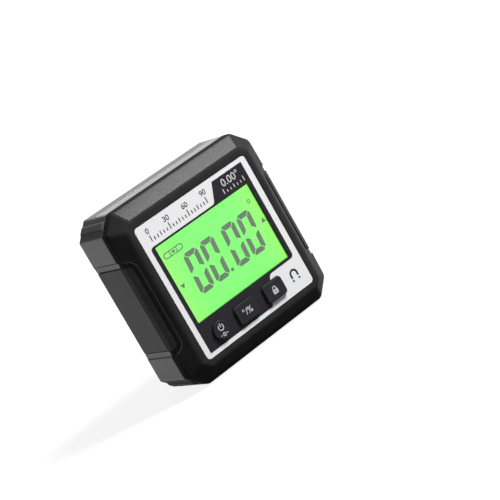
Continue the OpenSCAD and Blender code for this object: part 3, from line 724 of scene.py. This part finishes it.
for node, sloped, other_edges in (("front_bezel", True, 0), ("rear_housing", False, HOUSING_SHARE)):
    modifiers = joined(node)
    modifiers.new("edges", "NODES").node_group = edge_marks(node + "_edges", sloped, other_edges)
    rounded_off(modifiers, FACET_ROUND, FACET_STEPS, "WEIGHT")
for node, width in {
    "grip_left": PAD_ROUND,
    "grip_right": PAD_ROUND,
    "front_grip_left": PAD_ROUND,
    "front_grip_right": PAD_ROUND,
    "power_button": KEY_ROUND,
    "unit_button": KEY_ROUND,
    "hold_button": KEY_ROUND,
    "base_magnets": MAGNET_ROUND,
}.items():
    rounded_off(joined(node), width, SMALL_STEPS, "ANGLE")

# Black field on the label

LENS_LEDGE = 1.0
VIEW_CORNER = 0.4
KEY_GAP = 0.18
KEY_CORNER = 1.0
POWER_DIA = 5.8
UNIT_WIDTH = 7.9
UNIT_HEIGHT = 5.8
FIELD_LEFT = -20.5
FIELD_RIGHT = 20.3
FIELD_TOP = 49.5
FIELD_STEP = 43.6
FIELD_NOTCH = 16.6
FIELD_BOTTOM = 8.1
STEP_FOOT = 5.35
STEP_HEAD = 8.1
NOTCH_HEAD = 9.9
NOTCH_FOOT = 5.4
CRISP = 0.2
LINING_OUT = 0.02
LINING_IN = -0.05
LINING_PROUD = 0.8 * INK

view_x, view_z = middle("display_window")
view_w = (lens_high.x - lens_low.x) / MM - 2 * LENS_LEDGE
view_h = (lens_high.z - lens_low.z) / MM - 2 * LENS_LEDGE
power_x, key_z = middle("power_button")
unit_x = middle("unit_button")[0]
hold_x = middle("hold_button")[0]

field = rounded([
    (FIELD_LEFT, FIELD_STEP, 1.1),
    (STEP_FOOT, FIELD_STEP, 1.3),
    (STEP_HEAD, FIELD_TOP, CRISP),
    (FIELD_RIGHT, FIELD_TOP, CRISP),
    (FIELD_RIGHT, FIELD_NOTCH, 1.3),
    (NOTCH_HEAD, FIELD_NOTCH, 1.4),
    (NOTCH_FOOT, FIELD_BOTTOM, CRISP),
    (FIELD_LEFT, FIELD_BOTTOM, CRISP),
])


def openings(shift):
    """The window and the two key openings in the black field, each grown by that much all round."""
    key = KEY_GAP + shift
    return [
        rectangle(view_x, view_z, view_w + 2 * shift, view_h + 2 * shift, VIEW_CORNER + shift),
        circle(power_x, key_z, POWER_DIA / 2 + key),
        rectangle(unit_x, key_z, UNIT_WIDTH + 2 * key, UNIT_HEIGHT + 2 * key, KEY_CORNER + key),
    ]


printed("label_black", [field, *openings(0)], front_y, "housing", black_ink)
lining = [*openings(LINING_OUT), *openings(LINING_IN)]
lining_depth = label_high.y - front_y + LINING_PROUD
printed("label_lining", lining, label_high.y, "housing", black_ink, lining_depth)

# Display

DIGIT_LEFTS = (-13.5, -6.95, 1.7, 8.25)
DIGIT_FOOT = 23.6
DIGIT_WIDTH = 5.5
DIGIT_HEIGHT = 13.2
DIGIT_LEAN = 3.6
BAR = 1.6
BAR_GAP = 0.22
BAR_CUT = 1.1
MIDDLE_GAP = 1.0
TIP_INNER = 0.6 * BAR
TIP_POINT = 0.2 * BAR
TIP_OUTER = 0.15 * BAR
POINT_AT = (-0.35, 24.5)
POINT_SIZE = 1.1
POINT_CORNER = 0.35
DEGREE_AT = (16.0, 38.4)
DEGREE_OUTER = 0.66
DEGREE_INNER = 0.36
ARROW_UP_AT = (17.2, 31.3)
ARROW_DOWN_AT = (-17.4, 29.0)
ARROW_WIDTH = 1.8
ARROW_HEIGHT = 1.5
VIAL_AT = (-14.5, 39.25)
VIAL_LENGTH = 7.4
VIAL_HEIGHT = 2.0
VIAL_WALL = 0.35
VIAL_ROUND = 0.9
VIAL_INNER_ROUND = 0.6
VIAL_MARK = 1.3
VIAL_MARK_WIDTH = 0.34
VIAL_MARK_SHORT = 0.01
BUBBLE = (1.3, 0.8, 0.38)
TINY = 0.02

# The display lies behind the face, so its layout is shifted to stand where the photo shows it.
SHIFT_X = 1.0
SHIFT_Z = -0.4


def shifted(x, z):
    return x + SHIFT_X, z + SHIFT_Z


def flipped(shape, right, up):
    """A bar of a digit, turned over to the digit's right side or upper end."""
    return [(DIGIT_WIDTH - x if right else x, DIGIT_HEIGHT - z if up else z) for x, z in shape]


def segments(left, foot):
    """The six lit bars of a nought on a seven-bar digit, leaning to the right."""
    mitre = BAR_GAP / math.sqrt(2)
    inner = (BAR_CUT - mitre) / 2
    outer = (BAR_CUT + mitre) / 2
    tip = (DIGIT_HEIGHT - MIDDLE_GAP) / 2
    bar = [
        (outer, inner),
        (BAR_CUT, 0),
        (DIGIT_WIDTH - BAR_CUT, 0),
        (DIGIT_WIDTH - outer, inner),
        (DIGIT_WIDTH - BAR - mitre, BAR),
        (BAR + mitre, BAR),
    ]
    post = [
        (inner, outer),
        (BAR, BAR + mitre),
        (BAR, tip - TIP_INNER),
        (TIP_POINT, tip),
        (0, tip - TIP_OUTER),
        (0, BAR_CUT),
    ]
    shapes = [flipped(bar, False, up) for up in (False, True)]
    shapes += [flipped(post, right, up) for right in (False, True) for up in (False, True)]
    slope = math.tan(math.radians(DIGIT_LEAN))
    return [[(left + x + slope * z, foot + z) for x, z in shape] for shape in shapes]


digits = []
for left in DIGIT_LEFTS:
    digits += segments(*shifted(left, DIGIT_FOOT))
digits.append(rectangle(*shifted(*POINT_AT), POINT_SIZE, POINT_SIZE, POINT_CORNER))
printed("display_digits", digits, display_y, "housing", segment_glow)

vial_x, vial_z = shifted(*VIAL_AT)
vial_inside = VIAL_HEIGHT - 2 * VIAL_WALL
mark_height = vial_inside - VIAL_MARK_SHORT
signs = [
    circle(*shifted(*DEGREE_AT), DEGREE_OUTER),
    circle(*shifted(*DEGREE_AT), DEGREE_INNER),
    triangle(*shifted(*ARROW_UP_AT), ARROW_WIDTH, ARROW_HEIGHT),
    triangle(*shifted(*ARROW_DOWN_AT), ARROW_WIDTH, -ARROW_HEIGHT),
    rectangle(vial_x, vial_z, VIAL_LENGTH, VIAL_HEIGHT, VIAL_ROUND),
    rectangle(vial_x, vial_z, VIAL_LENGTH - 2 * VIAL_WALL, vial_inside, VIAL_INNER_ROUND),
    rectangle(vial_x - VIAL_MARK, vial_z, VIAL_MARK_WIDTH, mark_height, TINY),
    rectangle(vial_x + VIAL_MARK, vial_z, VIAL_MARK_WIDTH, mark_height, TINY),
    rectangle(vial_x, vial_z, *BUBBLE),
]
printed("display_signs", signs, display_y, "housing", segment_glow)

# Graduations, numbers and a magnet's sign in place of the printed words

SCALE_LEFT = -18.6
SCALE_RIGHT = 3.6
SCALE_FOOT = 45.0
SCALE_STEPS = 18
SCALE_TICK = 0.32
SCALE_HEIGHTS = (1.0, 1.4, 2.0)
SCALE_FIGURES = ("0", "30", "60", "90")
SCALE_FIGURE_FOOT = 47.6
SCALE_FIGURE = 1.7
TAB_LEFT = 10.2
TAB_RIGHT = 18.4
TAB_FOOT = 44.2
TAB_STEPS = 6
TAB_TICK = 0.30
TAB_HEIGHTS = (0.8, 1.2, 1.6)
TAB_FIGURE_X = 14.2
TAB_FIGURE_FOOT = 46.2
TAB_FIGURE = 2.4
MAGNET_X = 17.3
MAGNET_Z = 12.3
MAGNET_RADIUS = 1.2
MAGNET_LEG = 1.1
MAGNET_STROKE = 0.66
MAGNET_STEPS = 20
POLE_DROP = 1.85
POLE = (0.68, 0.55, 0.1)


def graduations(left, right, z, count, width, heights):
    """A row of upright ticks, longer at every third and longest at every sixth."""
    ticks = []
    for i in range(count + 1):
        height = heights[(i % 3 == 0) + (i % 6 == 0)]
        x = left + (right - left) * i / count
        ticks.append(rectangle(x, z + height / 2, width, height, TINY))
    return ticks


scale = graduations(SCALE_LEFT, SCALE_RIGHT, SCALE_FOOT, SCALE_STEPS, SCALE_TICK, SCALE_HEIGHTS)
printed("label_scale", scale, front_y, "housing", grey_ink)
tab_scale = graduations(TAB_LEFT, TAB_RIGHT, TAB_FOOT, TAB_STEPS, TAB_TICK, TAB_HEIGHTS)
printed("tab_scale", tab_scale, front_y - INK, "housing", pale_ink)

magnet = [arch(MAGNET_X, MAGNET_Z, MAGNET_RADIUS, MAGNET_LEG, MAGNET_STROKE, MAGNET_STEPS)]
for side in (-1, 1):
    magnet.append(rectangle(MAGNET_X + side * MAGNET_RADIUS, MAGNET_Z - POLE_DROP, *POLE))
printed("magnet_sign", magnet, front_y, "housing", grey_ink)

number(
    "tab_number", "0.00°", TAB_FIGURE_X, TAB_FIGURE_FOOT, TAB_FIGURE,
    front_y - INK, "housing", pale_ink,
)
for step, figures in enumerate(SCALE_FIGURES):
    x = SCALE_LEFT + (SCALE_RIGHT - SCALE_LEFT) * step / (len(SCALE_FIGURES) - 1)
    number(
        "scale_" + figures, figures, x, SCALE_FIGURE_FOOT, SCALE_FIGURE,
        front_y, "housing", grey_ink,
    )

# Signs on the keys

STROKE = 0.30
POWER_RISE = 0.8
POWER_RADIUS = 0.9
POWER_START = 125
POWER_END = 415
POWER_STEPS = 30
POWER_BAR_RISE = 0.65
POWER_BAR = (STROKE, 1.2, 0.1)
ZERO_DROP = 1.5
ZERO_OUTER = (0.9, 1.2, 0.42)
ZERO_INNER = (0.42, 0.72, 0.2)
DASH_OUT = 1.05
DASH = (0.65, 0.24, 0.05)
UNIT_FIGURE_DROP = 0.95
UNIT_FIGURE = 2.0
LOCK_DROP = 0.5
LOCK = (1.9, 1.4, 0.2)
KEYHOLE_RADIUS = 0.25
SHACKLE_RISE = 0.5
SHACKLE_RADIUS = 0.6
SHACKLE_LEG = 0.3
SHACKLE_STEPS = 16

sign_z = key_z + POWER_RISE
zero_z = key_z - ZERO_DROP
power_sign = [
    bent_strip(arc(power_x, sign_z, POWER_RADIUS, POWER_START, POWER_END, POWER_STEPS), STROKE),
    rectangle(power_x, sign_z + POWER_BAR_RISE, *POWER_BAR),
    rectangle(power_x, zero_z, *ZERO_OUTER),
    rectangle(power_x, zero_z, *ZERO_INNER),
    rectangle(power_x - DASH_OUT, zero_z, *DASH),
    rectangle(power_x + DASH_OUT, zero_z, *DASH),
]
printed("power_sign", power_sign, key_top_y, "power_key", pale_ink)
number(
    "unit_sign", "°/%", unit_x, key_z - UNIT_FIGURE_DROP, UNIT_FIGURE,
    key_top_y, "unit_key", pale_ink,
)
lock_sign = [
    rectangle(hold_x, key_z - LOCK_DROP, *LOCK),
    arch(hold_x, key_z + SHACKLE_RISE, SHACKLE_RADIUS, SHACKLE_LEG, STROKE, SHACKLE_STEPS),
    circle(hold_x, key_z - LOCK_DROP, KEYHOLE_RADIUS),
]
printed("lock_sign", lock_sign, key_top_y, "hold_key", pale_ink)

# Stage, light and camera

FLOOR_HALF = 3.0
FLOOR_DROP = 0.05 * MM
FLOOR_DARK = (0.135, 0.135, 0.135)
FLOOR_PALE = (0.145, 0.145, 0.145)
FLOOR_MOTTLE = 0.03
LIFT_NEAR = 0.86
LIFT_START = 0.04
LIFT_END = 0.40
# A painted contact shadow at the object's front foot, seen only in reflections
CONTACT_SHADE = 0.95
CONTACT_NEAR = 0.032
CONTACT_FAR = 0.06
CONTACT_EDGE = 0.1 * MM
ROOM_LIGHT = 0.08
WALL_LIGHT = 0.6
ROOM_END = -0.25
WALL_START = 0.45
LAMP_DIRECTION = (0.50, -0.41, 0.76)
LAMP_DISTANCE = 1.2
LAMP_SIZE = 0.3
LAMP_POWER = 28.8
CAMERA_AT = (-0.2512, -0.4480, 0.1266)
VIEW_DIRECTION = (0.5011, 0.8433, -0.1942)
CAMERA_ROLL = -29.62
LENS = 126.0
SENSOR = 36.0


def seen(tree):
    """1 for the rays that show the background: from the camera, in reflections and through glass."""
    rays = tree.nodes.new("ShaderNodeLightPath").outputs
    mirrored = maths(tree, "MAXIMUM", rays["Is Glossy Ray"], rays["Is Transmission Ray"])
    return maths(tree, "MAXIMUM", rays["Is Camera Ray"], mirrored)


def chosen(tree, amount, first, second, output):
    """Sends a mix of two shaders to the output's surface."""
    mix = tree.nodes.new("ShaderNodeMixShader")
    tree.links.new(amount, mix.inputs["Fac"])
    tree.links.new(first, mix.inputs[1])
    tree.links.new(second, mix.inputs[2])
    tree.links.new(mix.outputs["Shader"], tree.nodes[output].inputs["Surface"])


def floor_lift(tree):
    """The floor's glow: white far off, less near the object, with a painted contact shadow at its front foot
    in reflections.
    """
    reach = tree.nodes.new("ShaderNodeVectorMath")
    reach.operation = "LENGTH"
    tree.links.new(place(tree), reach.inputs[0])
    distance = reach.outputs["Value"]
    lift = maths(tree, "MULTIPLY", seen(tree), spread(tree, distance, LIFT_NEAR, 1, LIFT_START, LIFT_END))
    close = spread(tree, distance, CONTACT_SHADE, 0, CONTACT_NEAR, CONTACT_FAR)
    front_contact_shadow = maths(tree, "MULTIPLY", close, beyond(tree, "Y", land_y + CONTACT_EDGE, -CONTACT_EDGE))
    mirrored = tree.nodes.new("ShaderNodeLightPath").outputs["Is Glossy Ray"]
    kept = maths(tree, "SUBTRACT", 1, maths(tree, "MULTIPLY", mirrored, front_contact_shadow))
    return maths(tree, "MULTIPLY", lift, kept)


def floor():
    """A pale floor that shows white round the object's shadow, and is clear from below."""
    mesh = bpy.data.meshes.new("floor")
    corners = [(-1, -1), (1, -1), (1, 1), (-1, 1)]
    mesh.from_pydata([(x * FLOOR_HALF, y * FLOOR_HALF, 0) for x, y in corners], [], [(0, 1, 2, 3)])
    plane = bpy.data.objects.new("floor", mesh)
    plane.location.z = -FLOOR_DROP
    scene.collection.objects.link(plane)
    material, tree, shader = new_material("pale_floor")
    mottle = ramp(tree, noise(tree, FLOOR_MOTTLE), [(NOISE_LOW, FLOOR_DARK), (NOISE_HIGH, FLOOR_PALE)])
    tree.links.new(mottle, shader.inputs["Base Color"])
    shader.inputs["Roughness"].default_value = 0.8
    shader.inputs["Specular IOR Level"].default_value = 0
    shader.inputs["Emission Color"].default_value = (*WHITE, 1)
    tree.links.new(floor_lift(tree), shader.inputs["Emission Strength"])
    clear = tree.nodes.new("ShaderNodeBsdfTransparent").outputs["BSDF"]
    from_below = tree.nodes.new("ShaderNodeNewGeometry").outputs["Backfacing"]
    chosen(tree, from_below, shader.outputs["BSDF"], clear, "Material Output")
    mesh.materials.append(material)


def world():
    """White as a background; as light, a pale wall behind the object and a dim room in front."""
    scene.world = bpy.data.worlds.new("studio")
    scene.world.use_nodes = True
    tree = scene.world.node_tree
    direction = coordinates(tree, tree.nodes.new("ShaderNodeTexCoord").outputs["Generated"])
    level = spread(tree, direction["Y"], ROOM_LIGHT, WALL_LIGHT, ROOM_END, WALL_START)
    light = tree.nodes["Background"]
    tree.links.new(level, light.inputs["Strength"])
    white = tree.nodes.new("ShaderNodeBackground")
    for backdrop in (light, white):
        backdrop.inputs["Color"].default_value = (*WHITE, 1)
    chosen(tree, seen(tree), light.outputs["Background"], white.outputs["Background"], "World Output")


def softbox():
    """A square lamp above the front that faces the object's middle."""
    lamp = bpy.data.lights.new("top_box", "AREA")
    lamp.shape = "SQUARE"
    lamp.size = LAMP_SIZE
    lamp.energy = LAMP_POWER
    box = bpy.data.objects.new("top_box", lamp)
    aim = Vector(LAMP_DIRECTION).normalized()
    box.location = Vector((0, 0, middle_z)) + aim * LAMP_DISTANCE
    box.rotation_euler = aim.to_track_quat("Z", "Y").to_euler()
    scene.collection.objects.link(box)


def camera():
    """The photo's viewpoint, rolled as the photo is."""
    lens = bpy.data.cameras.new("camera")
    lens.lens = LENS
    lens.sensor_width = SENSOR
    eye = bpy.data.objects.new("camera", lens)
    eye.location = CAMERA_AT
    upright = Vector(VIEW_DIRECTION).to_track_quat("-Z", "Y")
    eye.rotation_euler = (upright @ Quaternion((0, 0, 1), math.radians(CAMERA_ROLL))).to_euler()
    scene.collection.objects.link(eye)
    scene.camera = eye


floor()
world()
softbox()
camera()

bpy.context.view_layer.update()
